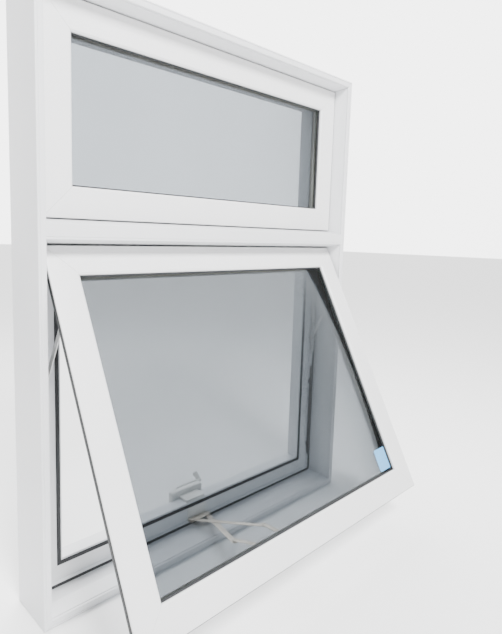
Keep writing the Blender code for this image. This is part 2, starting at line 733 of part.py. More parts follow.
def build_operator(pivot):
    """The operator's links, the tongue on the sash that they turn on, and its bracket."""
    build_carrier()
    tongue = empty("tongue_hinge", TONGUE_HINGE - PIVOT, (OPEN_ANGLE - operator_tilt(), 0, 0), pivot)
    reach = TONGUE_REACH + ARM_W / 2
    plate = box_mesh((-CARRIER_W / 2, -reach, -PLATE_T / 2), (CARRIER_W / 2, TOUCH, PLATE_T / 2))
    tongue_plate = add_part("operator_tongue", plate, "steel", parent=tongue)
    link_z = LINK_Z - TONGUE_Z - PLATE_T / 2
    swing = scissor_angles(OPEN_REACH)[1]
    for side, sign in (("left", -1), ("right", 1)):
        post_at = (sign * LINK_PIVOT_X, -TONGUE_REACH, 0)
        post = rod_mesh(STAY_PIN_R, (0, 0, link_z), (0, 0, 0))
        boolean(tongue_plate, cutter(f"link_post_{side}", post, post_at, tongue), "UNION")
        aim = math.pi / 2 - sign * swing
        joint = empty(f"link_joint_{side}", (post_at[0], post_at[1], link_z), (0, 0, aim), tongue)
        link = add_part(f"operator_link_{side}", plate_bar(LINK_L), "steel", parent=joint)
        rivet = rod_mesh(RIVET_R, (LINK_L, 0, PLATE_T / 2), (LINK_L, 0, PLATE_T + RIVET_T))
        boolean(link, cutter(f"link_rivet_{side}", rivet, parent=joint), "UNION")

    half = CARRIER_W / 2 + BRACKET_SIDE
    low = Vector((OPERATOR_X - half, FLANGE_BACK + BRACKET_SETBACK, BRACKET_Z)) - PIVOT
    high = Vector((OPERATOR_X + half, TONGUE_HINGE_Y + BRACKET_LAP, BRACKET_Z + BRACKET_T)) - PIVOT
    add_part("operator_bracket", box_mesh(low, high), "steel", parent=pivot)


def build_crank():
    """Cover on the room side, the crank and its turning knob."""
    cover_low = (-COVER_W / 2, FRAME_DEPTH + TOUCH, LAND_1_TOP)
    cover_high = (COVER_W / 2, FRAME_DEPTH + COVER_T, GEARBOX_H + COVER_RISE)
    cover = add_part("operator_cover", box_mesh(cover_low, cover_high), "enamel", (OPERATOR_X, 0, 0))
    bevel(cover, COVER_ROUND, 3)

    stand = CRANK_SHAFT_R * math.sin(CRANK_TILT) + 2 * TOUCH
    root = (OPERATOR_X, FRAME_DEPTH + COVER_T + stand, CRANK_Z)
    joint = empty("crank_axis", root, (CRANK_TILT - math.pi / 2, 0, 0))
    bar = outline_mesh([stadium(CRANK_ARM, CRANK_BAR_W)], CRANK_BAR_T)
    bar = turned(bar, Matrix.Translation((0, 0, CRANK_HUB_L)))
    crank = add_part("crank_arm", bar, "enamel", parent=joint)
    bar_top = CRANK_HUB_L + CRANK_BAR_T / 2
    hub = rod_mesh(CRANK_SHAFT_R, (0, 0, 0), (0, 0, CRANK_HUB_L + CRANK_BAR_T / 4))
    boolean(crank, cutter("crank_hub", hub, parent=joint), "UNION")
    stem = rod_mesh(STEM_R, (CRANK_ARM, 0, CRANK_HUB_L), (CRANK_ARM, 0, bar_top + STEM_L))
    boolean(crank, cutter("crank_stem", stem, parent=joint), "UNION")
    knob_root = empty("knob_axis", (CRANK_ARM, 0, bar_top + TOUCH), (0, 0, 0), joint)
    knob = add_part("crank_knob", knob_mesh(), "enamel", parent=knob_root)
    smooth(knob)


def knob_mesh():
    """A turned knob with a blind bore for the stem; the outline runs down its outer side."""
    bore = STEM_R + PIN_CLEARANCE
    profile = [(0, KNOB_L)]
    for k in range(1, ARC_STEPS + 1):
        t = math.pi / 2 * k / ARC_STEPS
        profile.append((KNOB_R * math.sin(t), KNOB_L - KNOB_DOME * (1 - math.cos(t))))
    profile += [(KNOB_WAIST_R, KNOB_FOOT), (KNOB_WAIST_R, 0)]
    profile += [(bore, 0), (bore, KNOB_BORE_L), (0, KNOB_BORE_L)]
    work = bmesh.new()
    verts = [work.verts.new((x, 0, z)) for x, z in profile]
    for a, b in zip(verts, verts[1:]):
        work.edges.new((a, b))
    bmesh.ops.spin(work, geom=work.verts[:] + work.edges[:], cent=(0, 0, 0), axis=(0, 0, 1),
                   angle=2 * math.pi, steps=ROUND_STEPS, use_merge=True)
    bmesh.ops.remove_doubles(work, verts=work.verts, dist=0.00001)
    bmesh.ops.recalc_face_normals(work, faces=work.faces)
    mesh = bpy.data.meshes.new("knob")
    work.to_mesh(mesh)
    work.free()
    return mesh


# ---------------------------------------------------------------- locks


def tie_bar_outline():
    """Strip with a lug for each locking point, as (height, depth) about the strip's middle line."""
    half = TIE_BAR_W / 2
    lug_half = LUG_H / 2
    lug_out = half + LUG_REACH
    points = [(TIE_BAR_BOTTOM, -half), (TIE_BAR_TOP, -half), (TIE_BAR_TOP, half)]
    for height in reversed(LUG_HEIGHTS):
        points += [
            (height + lug_half, half),
            (height + lug_half, lug_out),
            (height - lug_half, lug_out),
            (height - lug_half, half),
        ]
    points.append((TIE_BAR_BOTTOM, half))
    return points


def build_locks(pivot):
    """On each jamb a lever in its escutcheon and a sliding tie bar; keepers on the sash."""
    axes = Matrix(((0, 0, 1, 0), (0, 1, 0, 0), (1, 0, 0, 0), (0, 0, 0, 1)))
    bar_x = JAMB_WALL_X - TOUCH - TIE_BAR_T / 2
    lever_x = FRAME_W / 2 - LAND_2_TOP / 2
    back = FRAME_DEPTH + TOUCH
    for side, sign in (("left", -1), ("right", 1)):
        bar = turned(outline_mesh([tie_bar_outline()], TIE_BAR_T), axes)
        add_part(f"lock_tie_bar_{side}", bar, "dark_metal", (sign * bar_x, STAY_Y - TIE_BAR_FORE, 0))
        plate_low = (-LOCK_BASE_W / 2, back, -LOCK_BASE_H / 2)
        plate = box_mesh(plate_low, (LOCK_BASE_W / 2, back + LOCK_BASE_T, LOCK_BASE_H / 2))
        add_part(f"lock_plate_{side}", plate, "enamel", (sign * lever_x, 0, LOCK_Z))
        joint = empty(f"lock_axis_{side}", (sign * lever_x, back + LOCK_BASE_T + LEVER_STAND, LOCK_Z))
        lever_mesh = outline_mesh([stadium(LOCK_LEVER_L, LOCK_LEVER_W)], LOCK_LEVER_T)
        lever = add_part(f"lock_lever_{side}", turned(lever_mesh, axes), "enamel", parent=joint)
        bevel(lever, LEVER_ROUND, 2, 60)
        keeper_x = REAR_BODY_X + 2 * TOUCH + LINER_T
        middle = Vector((sign * (keeper_x + KEEPER_T / 2), STAY_Y, sum(LUG_HEIGHTS) / 2)) - PIVOT
        rise = (max(LUG_HEIGHTS) - min(LUG_HEIGHTS)) / 2 + KEEPER_H / 2
        keeper_low = (-KEEPER_T / 2, -KEEPER_W / 2, -rise)
        keeper = box_mesh(keeper_low, (KEEPER_T / 2, KEEPER_W / 2, rise))
        add_part(f"lock_keeper_{side}", keeper, "dark_metal", middle, parent=pivot)


# ---------------------------------------------------------------- assembly


def build():
    build_frame()
    build_sash("fixed", FIXED_SASH_H, (0, FACE_SETBACK, FIXED_BOTTOM + FIXED_SASH_H / 2))
    pivot = empty("sash_pivot", PIVOT, (-OPEN_ANGLE, 0, 0))
    build_vent_sash(pivot)
    build_stays(pivot)
    build_operator(pivot)
    build_crank()
    build_locks(pivot)


build()
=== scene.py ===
"""Looks of the window unit: a fixed light over an awning sash that a crank operator holds open."""
import json
import math

import bmesh
import bpy
from mathutils import Matrix, Vector


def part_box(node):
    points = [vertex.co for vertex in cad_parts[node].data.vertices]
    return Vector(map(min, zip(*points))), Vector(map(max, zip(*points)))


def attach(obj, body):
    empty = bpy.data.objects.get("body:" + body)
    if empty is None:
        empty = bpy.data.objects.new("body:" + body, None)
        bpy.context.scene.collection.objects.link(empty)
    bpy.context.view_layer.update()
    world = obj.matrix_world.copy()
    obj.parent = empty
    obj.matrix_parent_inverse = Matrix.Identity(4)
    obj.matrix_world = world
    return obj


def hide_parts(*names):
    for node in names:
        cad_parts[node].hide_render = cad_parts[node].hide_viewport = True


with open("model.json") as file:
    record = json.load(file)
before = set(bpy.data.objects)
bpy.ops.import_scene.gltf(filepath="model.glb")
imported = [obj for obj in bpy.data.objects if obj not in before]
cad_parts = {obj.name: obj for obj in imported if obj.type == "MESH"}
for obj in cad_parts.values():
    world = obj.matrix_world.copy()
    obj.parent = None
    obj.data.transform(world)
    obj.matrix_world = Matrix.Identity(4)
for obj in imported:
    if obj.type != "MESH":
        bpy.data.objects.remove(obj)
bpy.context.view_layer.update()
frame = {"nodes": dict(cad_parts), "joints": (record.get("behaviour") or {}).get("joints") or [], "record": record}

# ---------------------------------------------------------------- camera
CAMERA_X = -0.9144
CAMERA_OUT = 0.9582
CAMERA_Z = 0.8217
CAMERA_YAW = 44.363
CAMERA_PITCH = -6.760
CAMERA_ROLL = 1.637
LENS = 29.32
SHIFT = (0.0234, -0.0303)

# ---------------------------------------------------------------- light
SKY_AXIS = (0.52, 0.80, 0.30)
SKY_BRIGHT_FROM = 0.85
SKY_DIM = 0.80
SKY_BRIGHT = 5.2
FRONT_AT = (-0.9, -2.6, 3.3)
FRONT_SIZE = (1.0, 1.0)
FRONT_POWER = 400
ROOM_AT = (0.2, 1.3, 2.4)
ROOM_AIM = (0, 0, 0.1)
ROOM_SIZE = (1.8, 1.0)
ROOM_POWER = 60
FLOOR_HALF = 30
FLOOR_DROP = 0.0005
FLOOR_TONE = (0.86, 0.86, 0.86, 1.0)

# ---------------------------------------------------------------- sizes taken from the frame
SILL_LOW, SILL_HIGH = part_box("frame_sill")
HEAD_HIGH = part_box("frame_head")[1]
FRAME_RECT = (SILL_LOW.x, SILL_HIGH.x, SILL_LOW.z, HEAD_HIGH.z)
FRAME_FRONT = SILL_LOW.y
FRAME_DEPTH = SILL_HIGH.y - SILL_LOW.y

SEAL_INSET = 0.0006
TOUCH = 0.0003
FIXED_LOW, FIXED_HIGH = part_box("fixed_rail_bottom")[0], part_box("fixed_rail_top")[1]
VENT_SEAL_LOW, VENT_SEAL_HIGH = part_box("vent_seal_outer")
SASH_FRONT = FIXED_LOW.y
FIXED_RECT = (FIXED_LOW.x, FIXED_HIGH.x, FIXED_LOW.z, FIXED_HIGH.z)
VENT_LOW_Z = VENT_SEAL_LOW.z - SEAL_INSET
VENT_HIGH_Z = VENT_SEAL_HIGH.z + SEAL_INSET
VENT_RECT = (FIXED_LOW.x, FIXED_HIGH.x, VENT_LOW_Z, VENT_HIGH_Z)

SASH_JOINT = next(j for j in frame["joints"] if j["name"] == "sash_tilt")
PIVOT = Vector(SASH_JOINT["pos_m"])
OPEN_ANGLE = math.radians(-SASH_JOINT["range_deg"][0])
SASH_OPEN = Matrix.Translation(PIVOT) @ Matrix.Rotation(-OPEN_ANGLE, 4, "X") @ Matrix.Translation(-PIVOT)

SIDES = ("bottom", "top", "left", "right")
MITRE_GAP = 0.0002
ARC_STEPS = 4

# ---------------------------------------------------------------- sections, as (inset, depth, corner radius)
LIP = 0.017
LAND_1_DEPTH = 0.080
LAND_1_TOP = 0.034
LAND_2_DEPTH = 0.091
LAND_2_TOP = 0.084
FRAME_SECTION = [
    (0.0, 0.0, 0.0018),
    (0.0040, 0.0, 0.0004),
    (0.0044, 0.0011, 0.0003),
    (0.0056, 0.0011, 0.0003),
    (0.0060, 0.0, 0.0004),
    (LIP, 0.0, 0.0020),
    (LIP + 0.0008, 0.0042, 0.0003),
    (LIP - 0.0008, 0.0047, 0.0003),
    (LIP - 0.0006, 0.0064, 0.0003),
    (LIP + 0.0013, 0.0070, 0.0003),
    (0.025, 0.043, 0.0010),
    (0.025, LAND_1_DEPTH, 0.0008),
    (LAND_1_TOP, LAND_1_DEPTH, 0.0014),
    (LAND_1_TOP, LAND_2_DEPTH, 0.0010),
    (LAND_2_TOP, LAND_2_DEPTH, 0.0020),
    (LAND_2_TOP, FRAME_DEPTH, 0.0020),
    (0.0, FRAME_DEPTH, 0.0010),
]
SASH_FACE = 0.065
REBATE = 0.051
SASH_DEPTH = 0.044
BODY_INSET = 0.022
FLANGE = 0.010
GLASS_LEG = 0.0085
SASH_SECTION = [
    (0.0, 0.0, 0.0022),
    (0.0605, 0.0, 0.0012),
    (SASH_FACE, 0.0030, 0.0010),
    (SASH_FACE, GLASS_LEG, 0.0004),
    (REBATE, GLASS_LEG, 0.0),
    (REBATE, SASH_DEPTH, 0.0008),
    (BODY_INSET, SASH_DEPTH, 0.0012),
    (BODY_INSET, FLANGE, 0.0012),
    (0.0, FLANGE, 0.0010),
]
BEAD_SECTION = [
    (0.0513, 0.0353, 0.0),
    (0.0660, 0.0353, 0.0006),
    (0.0660, 0.0380, 0.0010),
    (0.0590, 0.0437, 0.0022),
    (0.0513, 0.0437, 0.0004),
]
GASKET_SECTION = [
    (0.0530, 0.0088, 0.0),
    (0.0652, 0.0088, 0.0),
    (0.0654, 0.0072, 0.0004),
    (0.0672, 0.0080, 0.0010),
    (0.0690, 0.0117, 0.0004),
    (0.0530, 0.0117, 0.0),
]
TRANSOM_HALF_SECTION = [
    (0.0160, 0.0, 0.0026),
    (0.0240, 0.043, 0.0010),
    (0.0240, LAND_1_DEPTH, 0.0008),
    (0.0330, LAND_1_DEPTH, 0.0014),
    (0.0330, LAND_2_DEPTH, 0.0010),
    (0.0830, LAND_2_DEPTH, 0.0020),
    (0.0830, FRAME_DEPTH - 0.0004, 0.0020),
]
TRANSOM_GROOVE = [
    (-0.0102, 0.0, 0.0004),
    (-0.0106, 0.0011, 0.0003),
    (-0.0118, 0.0011, 0.0003),
    (-0.0122, 0.0, 0.0004),
]
OUTER_SEAL = (0.0004, 0.0064)
OUTER_SEAL_H = 0.0036
INNER_SEAL = (0.0430, 0.0520)
INNER_SEAL_H = 0.0034
MEMBER_EDGE = 0.0004
SASH_EDGE = 0.0003
METAL_EDGE = 0.0003
ENAMEL_EDGE = 0.0010
TRANSOM_LAP = 0.0006
LINER_SECTION = [
    (-0.0014, 0.0030, 0.0005),
    (-0.0014, 0.0114, 0.0005),
    (0.0204, 0.0114, 0.0003),
    (0.0204, 0.0303, 0.0003),
    (0.0217, 0.0303, 0.0003),
    (0.0217, 0.0102, 0.0),
    (-0.0002, 0.0102, 0.0),
    (-0.0002, 0.0030, 0.0002),
]
PIN_CLEAR = 0.0032
LABEL_MIDDLE = (0.387, 0.131)
LABEL_SIZE = (0.065, 0.060)
LABEL_DEPTH = (0.0117, 0.0119)
LABEL_ROUND = 0.004

# ---------------------------------------------------------------- materials


def new_material(name):
    """A material, with its node tree and its Principled shader."""
    made = bpy.data.materials.new(name)
    made.use_nodes = True
    tree = made.node_tree
    shader = tree.nodes["Principled BSDF"]
    return made, tree, shader


def node(tree, kind, **settings):
    """Adds a node; settings name its properties, or its inputs as in_Name."""
    added = tree.nodes.new(kind)
    for key, value in settings.items():
        if key.startswith("in_"):
            added.inputs[key[3:].replace("_", " ")].default_value = value
        else:
            setattr(added, key, value)
    return added


def noise(tree, coordinates, scale, detail=3.0, stretch=(1, 1, 1)):
    """A noise texture on stretched coordinates; returns its factor socket."""
    mapping = node(tree, "ShaderNodeMapping")
    mapping.inputs["Scale"].default_value = stretch
    tree.links.new(coordinates, mapping.inputs["Vector"])
    texture = node(tree, "ShaderNodeTexNoise", in_Scale=scale, in_Detail=detail)
    tree.links.new(mapping.outputs["Vector"], texture.inputs["Vector"])
    return texture.outputs["Fac"]


def ramp(tree, factor, stops):
    """A colour ramp over a factor; stops are (position, colour) pairs."""
    made = node(tree, "ShaderNodeValToRGB")
    elements = made.color_ramp.elements
    while len(elements) < len(stops):
        elements.new(0.5)
    for element, (position, colour) in zip(elements, stops):
        element.position = position
        element.color = (*colour, 1.0)
    tree.links.new(factor, made.inputs["Fac"])
    return made.outputs["Color"]


def spread(tree, factor, low, high):
    """Maps a 0 to 1 factor onto a range."""
    mapped = node(tree, "ShaderNodeMapRange")
    mapped.inputs["To Min"].default_value = low
    mapped.inputs["To Max"].default_value = high
    tree.links.new(factor, mapped.inputs["Value"])
    return mapped.outputs["Result"]


def bump(tree, shader, height, strength, distance):
    made = node(tree, "ShaderNodeBump", in_Strength=strength, in_Distance=distance)
    tree.links.new(height, made.inputs["Height"])
    tree.links.new(made.outputs["Normal"], shader.inputs["Normal"])


def add_heights(tree, first, second, share):
    """One height from two, the second weighed by share."""
    scaled = node(tree, "ShaderNodeMath", operation="MULTIPLY")
    scaled.inputs[1].default_value = share
    tree.links.new(second, scaled.inputs[0])
    total = node(tree, "ShaderNodeMath", operation="ADD")
    tree.links.new(first, total.inputs[0])
    tree.links.new(scaled.outputs["Value"], total.inputs[1])
    return total.outputs["Value"]


def vinyl(name, light, shade):
    """Extruded vinyl: faint draw lines along each member, a satin skin and slight tone drift."""
    made, tree, shader = new_material(name)
    along = node(tree, "ShaderNodeTexCoord").outputs["UV"]
    body = node(tree, "ShaderNodeTexCoord").outputs["Object"]
    lines = noise(tree, along, 1.0, 2.0, (1.2, 900, 1))
    skin = noise(tree, body, 900.0, 2.0)
    tone = noise(tree, body, 5.0, 3.0)
    tree.links.new(ramp(tree, tone, [(0.25, shade), (0.75, light)]), shader.inputs["Base Color"])
    tree.links.new(spread(tree, lines, 0.30, 0.42), shader.inputs["Roughness"])
    bump(tree, shader, add_heights(tree, lines, skin, 0.35), 0.25, 0.00012)
    shader.inputs["IOR"].default_value = 1.53
    return made


def glass(name, tint_and_painted_shade, gloss_ior=1.22):
    """Float glass with a slight tint of its own, darkened further as painted shade for the dim backdrop seen
    through it: light passes straight through, with a soft grazing reflection.
    """
    made = bpy.data.materials.new(name)
    made.use_nodes = True
    tree = made.node_tree
    tree.nodes.clear()
    output = node(tree, "ShaderNodeOutputMaterial")
    clear = node(tree, "ShaderNodeBsdfTransparent")
    gloss = node(tree, "ShaderNodeBsdfGlossy", in_Roughness=0.02)
    gloss.inputs["Color"].default_value = (0.95, 0.98, 1.0, 1.0)
    fresnel = node(tree, "ShaderNodeFresnel", in_IOR=gloss_ior)
    mix = node(tree, "ShaderNodeMixShader")
    body = node(tree, "ShaderNodeTexCoord").outputs["Object"]
    drift = noise(tree, body, 2.2, 2.0, (1, 1, 0.35))
    darker = tuple(0.985 * c for c in tint_and_painted_shade)
    # painted shade: the transmitted colour is darker than the glass's own slight tint, standing in for the dim
    # backdrop seen through the panes
    tree.links.new(ramp(tree, drift, [(0.3, darker), (0.7, tint_and_painted_shade)]), clear.inputs["Color"])
    waves = node(tree, "ShaderNodeBump", in_Strength=0.05, in_Distance=0.0005)
    tree.links.new(noise(tree, body, 7.0, 1.0), waves.inputs["Height"])
    tree.links.new(waves.outputs["Normal"], gloss.inputs["Normal"])
    tree.links.new(fresnel.outputs["Fac"], mix.inputs["Fac"])
    tree.links.new(clear.outputs["BSDF"], mix.inputs[1])
    tree.links.new(gloss.outputs["BSDF"], mix.inputs[2])
    tree.links.new(mix.outputs["Shader"], output.inputs["Surface"])
    return made


def rubber():
    """Black weatherstrip with a dusty, slightly mottled skin."""
    made, tree, shader = new_material("rubber")
    body = node(tree, "ShaderNodeTexCoord").outputs["Object"]
    dust = noise(tree, body, 60.0, 4.0)
    tree.links.new(ramp(tree, dust, [(0.35, (0.011, 0.012, 0.013)), (0.75, (0.020, 0.021, 0.023))]),
                   shader.inputs["Base Color"])
    tree.links.new(spread(tree, dust, 0.45, 0.70), shader.inputs["Roughness"])
    bump(tree, shader, noise(tree, body, 1400.0, 2.0), 0.35, 0.0001)
    return made


def spacer():
    """Grey spacer bar with the rows of fine vents that reach its drying agent."""
    made, tree, shader = new_material("spacer")
    body = node(tree, "ShaderNodeTexCoord").outputs["Object"]
    cells = node(tree, "ShaderNodeTexVoronoi", in_Scale=260.0)
    tree.links.new(body, cells.inputs["Vector"])
    vents = ramp(tree, cells.outputs["Distance"], [(0.10, (0.05, 0.045, 0.035)), (0.22, (0.21, 0.20, 0.165))])
    tree.links.new(vents, shader.inputs["Base Color"])
    shader.inputs["Metallic"].default_value = 0.35
    tree.links.new(spread(tree, noise(tree, body, 90.0), 0.35, 0.55), shader.inputs["Roughness"])
    bump(tree, shader, cells.outputs["Distance"], 0.3, 0.0002)
    return made


def metal(name, light, shade, roughness, metallic=1.0, stretch=(6, 160, 160)):
    """Plated strip: drawn lines, cloudy plating and a slightly uneven polish."""
    made, tree, shader = new_material(name)
    body = node(tree, "ShaderNodeTexCoord").outputs["Object"]
    cloud = noise(tree, body, 45.0, 5.0)
    lines = noise(tree, body, 12.0, 3.0, stretch)
    tree.links.new(ramp(tree, cloud, [(0.3, shade), (0.7, light)]), shader.inputs["Base Color"])
    tree.links.new(spread(tree, cloud, roughness - 0.07, roughness + 0.10), shader.inputs["Roughness"])
    shader.inputs["Metallic"].default_value = metallic
    bump(tree, shader, lines, 0.25, 0.00008)
    return made


def coating(name, light, shade, roughness, grain):
    """Sprayed coat on a casting or strip: orange peel, soft gloss and slight tone drift."""
    made, tree, shader = new_material(name)
    body = node(tree, "ShaderNodeTexCoord").outputs["Object"]
    tone = noise(tree, body, 14.0, 3.0)
    tree.links.new(ramp(tree, tone, [(0.3, shade), (0.7, light)]), shader.inputs["Base Color"])
    tree.links.new(spread(tree, tone, roughness - 0.05, roughness + 0.08), shader.inputs["Roughness"])
    bump(tree, shader, noise(tree, body, grain, 2.0), 0.3, 0.00012)
    return made


def paper():
    """Blank pale-blue sticker with a faint fibre."""
    made, tree, shader = new_material("sticker")
    body = node(tree, "ShaderNodeTexCoord").outputs["Object"]
    fibre = noise(tree, body, 220.0, 4.0)
    tree.links.new(ramp(tree, fibre, [(0.3, (0.10, 0.34, 0.62)), (0.7, (0.16, 0.42, 0.72))]),
                   shader.inputs["Base Color"])
    tree.links.new(spread(tree, fibre, 0.35, 0.5), shader.inputs["Roughness"])
    bump(tree, shader, fibre, 0.2, 0.0001)
    return made


MATERIALS = {
    "frame_vinyl": vinyl("frame_vinyl", (0.700, 0.706, 0.720), (0.665, 0.671, 0.686)),
    "sash_vinyl": vinyl("sash_vinyl", (0.770, 0.770, 0.775), (0.740, 0.741, 0.748)),
    # glass colour: a slight real tint darkened with painted shade for the dim backdrop seen through the panes
    "glass": glass("glass", (0.705, 0.720, 0.733)),
    "rubber": rubber(),
    "spacer": spacer(),
    "steel": metal("steel", (0.66, 0.66, 0.65), (0.50, 0.50, 0.49), 0.32),
    "arm_steel": metal("arm_steel", (0.74, 0.68, 0.60), (0.60, 0.54, 0.46), 0.42, 0.75),
    "dark_metal": coating("dark_metal", (0.045, 0.045, 0.048), (0.025, 0.025, 0.027), 0.45, 900.0),
    "enamel": coating("enamel", (0.82, 0.81, 0.78), (0.76, 0.75, 0.72), 0.32, 500.0),
}
STICKER = paper()

# ---------------------------------------------------------------- mesh helpers


def filleted(corners):
    """Closed outline with rounded corners, from (u, v, radius) corners."""
    points = []
    count = len(corners)
    for index, (u, v, radius) in enumerate(corners):
        here = Vector((u, v))
        back = Vector(corners[index - 1][:2]) - here
        ahead = Vector(corners[(index + 1) % count][:2]) - here
        if radius <= 0:
            points.append(here)
            continue
        half = back.angle(ahead) / 2
        cut = min(radius / math.tan(half), 0.45 * back.length, 0.45 * ahead.length)
        start = here + back.normalized() * cut
        end = here + ahead.normalized() * cut
        centre = here + (back.normalized() + ahead.normalized()).normalized() * cut / math.cos(half)
        for step in range(ARC_STEPS + 1):
            share = step / ARC_STEPS
            arm = (start - centre).lerp(end - centre, share)
            points.append(centre + arm.normalized() * (start - centre).length)
    return [(point.x, point.y) for point in points]


def swept(outline, end_points):
    """Mesh between two ends of one outline, with UVs in metres: along the sweep, then round the outline."""
    work = bmesh.new()
    layer = work.loops.layers.uv.new("UVMap")
    rings = [[work.verts.new(point) for point in ends] for ends in end_points]
    girth = [0.0]
    for (u0, v0), (u1, v1) in zip(outline, outline[1:] + outline[:1]):
        girth.append(girth[-1] + math.hypot(u1 - u0, v1 - v0))
    count = len(outline)
    for index in range(count):
        after = (index + 1) % count
        corners = [(0, index), (1, index), (1, after), (0, after)]
        face = work.faces.new([rings[ring][point] for ring, point in corners])
        length = (rings[1][index].co - rings[0][index].co).length
        for loop, (ring, point) in zip(face.loops, corners):
            loop[layer].uv = (ring * length, girth[index + (point != index)])
    for ring in rings:
        work.faces.new(ring)
    bmesh.ops.recalc_face_normals(work, faces=work.faces)
    return work


def finish_mesh(name, work, material, body, matrix=None, edge=0.0, segments=2, sharp=32):
    """Turns a bmesh into a smooth-shaded piece with its material that rides on a body."""
    mesh = bpy.data.meshes.new(name)
    if matrix is not None:
        work.transform(matrix)
    work.to_mesh(mesh)
    work.free()
    mesh.materials.append(material)
    mesh.shade_smooth()
    mesh.set_sharp_from_angle(angle=math.radians(sharp))
    piece = bpy.data.objects.new(name, mesh)
    bpy.context.scene.collection.objects.link(piece)
    if edge:
        add_bevel(piece, edge, segments)
    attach(piece, body)
    return piece


def add_bevel(piece, width, segments=2, angle=40):
    bevel = piece.modifiers.new("edges", "BEVEL")
    bevel.width = width
    bevel.segments = segments
    bevel.limit_method = "ANGLE"
    bevel.angle_limit = math.radians(angle)
    bevel.harden_normals = True


def side_point(side, rect, front, inset, depth, end, gap):
    """A point of a mitred side at one end (-1 or 1)."""
    left, right, low, high = rect
    if side in ("bottom", "top"):
        x = left + inset + gap if end < 0 else right - inset - gap
        z = low + inset if side == "bottom" else high - inset
    else:
        x = left + inset if side == "left" else right - inset
        z = low + inset + gap if end < 0 else high - inset - gap
    return x, front + depth, z


def mitred_side(side, rect, front, section):
    outline = filleted(section)
    ends = [[side_point(side, rect, front, u, v, end, MITRE_GAP) for u, v in outline] for end in (-1, 1)]
    return swept(outline, ends)


def ring_mesh(rect, front, section):
    """A closed ring of one section round a rectangle, with square corners."""
    outline = filleted(section)
    work = bmesh.new()
    layer = work.loops.layers.uv.new("UVMap")
    turns = [("bottom", -1), ("bottom", 1), ("top", 1), ("top", -1)]
    rings = [[work.verts.new(side_point(side, rect, front, u, v, end, 0.0)) for u, v in outline]
             for side, end in turns]
    for turn, ring in enumerate(rings):
        ahead = rings[(turn + 1) % len(rings)]
        for index in range(len(outline)):
            after = (index + 1) % len(outline)
            face = work.faces.new([ring[index], ahead[index], ahead[after], ring[after]])
            length = (ahead[index].co - ring[index].co).length
            for loop, (u, v) in zip(face.loops, ((0, 0), (length, 0), (length, 1), (0, 1))):
                loop[layer].uv = (u, v)
    bmesh.ops.recalc_face_normals(work, faces=work.faces)
    return work


# ---------------------------------------------------------------- frame members


def build_frame():
    names = {"bottom": "sill", "top": "head", "left": "jamb_left", "right": "jamb_right"}
    vinyl_frame = MATERIALS["frame_vinyl"]
    for side in SIDES:
        work = mitred_side(side, FRAME_RECT, FRAME_FRONT, FRAME_SECTION)
        name = f"frame_{names[side]}"
        piece = finish_mesh(f"{name}_profile", work, vinyl_frame, "frame",
                            edge=MEMBER_EDGE)
        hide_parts(name)
    low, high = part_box("frame_transom")
    middle = (low.z + high.z) / 2
    up = TRANSOM_HALF_SECTION
    section = TRANSOM_GROOVE + [(-z, depth, r) for z, depth, r in up] + list(reversed(up))
    outline = filleted(section)
    reach = FRAME_RECT[1] - LIP + TRANSOM_LAP
    front = FRAME_FRONT + TOUCH
    ends = [[(end * reach, front + v, middle + u) for u, v in outline] for end in (-1, 1)]
    piece = finish_mesh("frame_transom_profile", swept(outline, ends), vinyl_frame, "frame")
    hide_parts("frame_transom")


def bulb_section(inner, outer, back, front):
    """A push-in seal: a flat base at the back and a rounded bulb towards the sash."""
    width = outer - inner
    middle = (inner + outer) / 2
    height = back - front
    return [
        (inner, back, 0.0),
        (inner, back - 0.35 * height, 0.0003),
        (middle - 0.30 * width, back - 0.40 * height, 0.0002),
        (inner + 0.02 * width, front + 0.25 * height, 0.0010),
        (middle, front, 0.0014),
        (outer - 0.02 * width, front + 0.25 * height, 0.0010),
        (middle + 0.30 * width, back - 0.40 * height, 0.0002),
        (outer, back - 0.35 * height, 0.0003),
        (outer, back, 0.0),
    ]


def build_seals():
    outer_back = LAND_1_DEPTH - TOUCH
    for light, rect in (("fixed", FIXED_RECT), ("vent", VENT_RECT)):
        section = bulb_section(*OUTER_SEAL, outer_back, outer_back - OUTER_SEAL_H)
        work = ring_mesh(rect, FRAME_FRONT, section)
        piece = finish_mesh(f"{light}_outer_weatherstrip", work, MATERIALS["rubber"], "frame")
        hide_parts(f"{light}_seal_outer")
    inner_back = LAND_2_DEPTH - TOUCH
    section = bulb_section(*INNER_SEAL, inner_back, inner_back - INNER_SEAL_H)
    work = ring_mesh(VENT_RECT, FRAME_FRONT, section)
    piece = finish_mesh("vent_inner_weatherstrip", work, MATERIALS["rubber"], "frame")
    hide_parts("vent_seal_inner")


# ---------------------------------------------------------------- sashes


def build_sash(light, rect, body, matrix=None):
    sash_look = MATERIALS["sash_vinyl"]
    for side in SIDES:
        kind = "rail" if side in ("bottom", "top") else "stile"
        work = mitred_side(side, rect, SASH_FRONT, SASH_SECTION)
        piece = finish_mesh(f"{light}_{kind}_{side}_profile", work, sash_look, body,
                            matrix, edge=SASH_EDGE)
        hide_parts(f"{light}_{kind}_{side}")
        work = mitred_side(side, rect, SASH_FRONT, BEAD_SECTION)
        piece = finish_mesh(f"{light}_bead_{side}_profile", work, sash_look, body,
                            matrix, edge=SASH_EDGE)
        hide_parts(f"{light}_bead_{side}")
    work = ring_mesh(rect, SASH_FRONT, GASKET_SECTION)
    piece = finish_mesh(f"{light}_glazing_gasket", work, MATERIALS["rubber"], body, matrix)
    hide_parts(f"{light}_gasket")


